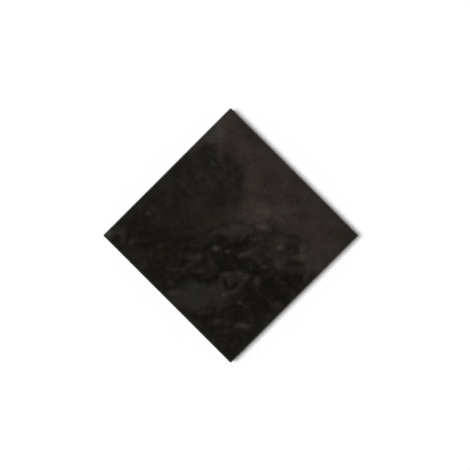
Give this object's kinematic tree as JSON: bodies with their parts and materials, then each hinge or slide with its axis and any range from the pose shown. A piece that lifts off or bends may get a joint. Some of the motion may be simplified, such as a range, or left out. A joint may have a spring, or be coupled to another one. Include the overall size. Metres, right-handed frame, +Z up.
{
  "type": "porcelain cabochon tile",
  "caption": "Small flat square porcelain inset tile with a mottled black stone-look face, sawn bevelled edges and a ribbed keying back, bedded where clipped floor tiles meet.",
  "frame": {"origin": "middle of the bed plane, under the centre of the tile", "axes": "+Z up out of the face, +X and +Y along the sawn edges"},
  "size_m": [0.07, 0.07, 0.01],
  "materials": {
    "porcelain": "matte"
  },
  "bodies": {
    "root": {"cabochon_tile": "porcelain"}
  },
  "joints": []
}
